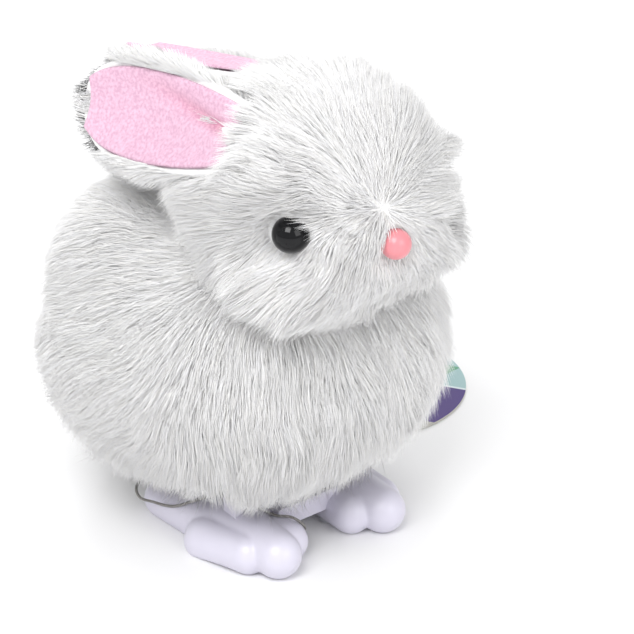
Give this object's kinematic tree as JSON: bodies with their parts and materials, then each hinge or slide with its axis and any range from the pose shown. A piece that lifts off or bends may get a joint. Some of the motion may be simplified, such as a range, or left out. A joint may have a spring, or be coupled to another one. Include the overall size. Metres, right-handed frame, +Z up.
{
  "type": "wind-up hopping plush rabbit",
  "caption": "Wind-up white plush rabbit with pink-lined ears that hops on moulded three-toed feet, worked by a clockwork motor with cranks inside a plastic body shell.",
  "frame": {"origin": "on the ground under the middle of the rabbit's bounding box, without the swing tag and its elastic", "axes": "+Z up; the rabbit faces -Y; its right side is -X"},
  "size_m": [0.1165, 0.1031, 0.1075],
  "materials": {
    "fur": "soft long-pile plush",
    "ear_velour": "short-pile velour",
    "stuffing": "polyester fibre",
    "gloss_black": "polished",
    "nose_pink": "satin",
    "washer_white": "moulded",
    "satin_white": "satin moulded",
    "shell_white": "moulded",
    "knob_white": "satin moulded",
    "crank_white": "moulded acetal",
    "steel": "turned",
    "plate_steel": "pressed",
    "spring_steel": "blued",
    "brass": "cut",
    "flywheel_alloy": "turned",
    "tag_card": "printed card",
    "elastic_grey": "covered elastic"
  },
  "bodies": {
    "feet": {"foot_right": "satin_white", "foot_left": "satin_white", "foot_yoke": "satin_white", "lift_arm_right": "satin_white", "lift_arm_left": "satin_white", "foot_screws": "steel", "swing_tag": "tag_card", "tag_elastic": "elastic_grey", "tag_knot": "elastic_grey"},
    "rabbit": {"body_skin": "fur", "head_skin": "fur", "head_stuffing": "stuffing", "tail": "fur", "ear_right": "fur", "ear_left": "fur", "ear_lining_right": "ear_velour", "ear_lining_left": "ear_velour", "eye_right": "gloss_black", "eye_left": "gloss_black", "eye_washers": "washer_white", "nose": "nose_pink", "nose_washer": "washer_white", "body_shell_right": "shell_white", "body_shell_left": "shell_white", "shell_screws": "steel", "neck_post": "shell_white", "belly_plate": "shell_white", "pivot_pin": "steel", "frame_plate_right": "plate_steel", "frame_plate_left": "plate_steel", "frame_pillars": "brass", "frame_screws": "steel", "motor_screws": "steel", "mainspring": "spring_steel"},
    "key": {"winding_arbor": "steel", "ratchet_wheel": "steel", "winding_knob": "knob_white", "knob_screw": "steel"},
    "great": {"great_wheel": "brass", "click_spring": "spring_steel"},
    "pawl": {"pawl": "steel"},
    "second": {"second_arbor": "steel", "second_wheel": "brass"},
    "crank": {"crank_shaft": "steel", "crank_wheel": "brass", "crank_right": "crank_white", "crank_left": "crank_white"},
    "governor": {"governor_arbor": "steel", "flywheel": "flywheel_alloy"}
  },
  "joints": [
    {"name": "hop", "type": "hinge", "parent": "feet", "child": "rabbit", "pos_m": [0, 0.006, 0.014], "axis": [-1, 0, 0], "range_deg": [0, 11]},
    {"name": "key_turn", "type": "hinge", "parent": "rabbit", "child": "key", "pos_m": [0, 0.009, 0.033], "axis": [1, 0, 0], "continuous": true},
    {"name": "great_wheel_turn", "type": "hinge", "parent": "rabbit", "child": "great", "pos_m": [0, 0.009, 0.033], "axis": [1, 0, 0], "continuous": true},
    {"name": "pawl_click", "type": "hinge", "parent": "great", "child": "pawl", "pos_m": [0, 0.015, 0.0386], "axis": [-1, 0, 0], "range_deg": [0, 10], "stiffness_Nm_per_rad": 0.0005, "springref_deg": -11.46},
    {"name": "second_turn", "type": "hinge", "parent": "rabbit", "child": "second", "pos_m": [0, -0.00391, 0.03148], "axis": [1, 0, 0], "continuous": true},
    {"name": "crank_turn", "type": "hinge", "parent": "rabbit", "child": "crank", "pos_m": [0, -0.0145, 0.0285], "axis": [1, 0, 0], "continuous": true},
    {"name": "governor_turn", "type": "hinge", "parent": "rabbit", "child": "governor", "pos_m": [0, -0.01624, 0.03835], "axis": [1, 0, 0], "continuous": true}
  ],
  "couplings": [
    {"joint": "great_wheel_turn", "follows": "key_turn", "ratio": 1},
    {"joint": "second_turn", "follows": "key_turn", "ratio": -3.3333},
    {"joint": "crank_turn", "follows": "key_turn", "ratio": 8.8889},
    {"joint": "governor_turn", "follows": "key_turn", "ratio": -20.741}
  ]
}
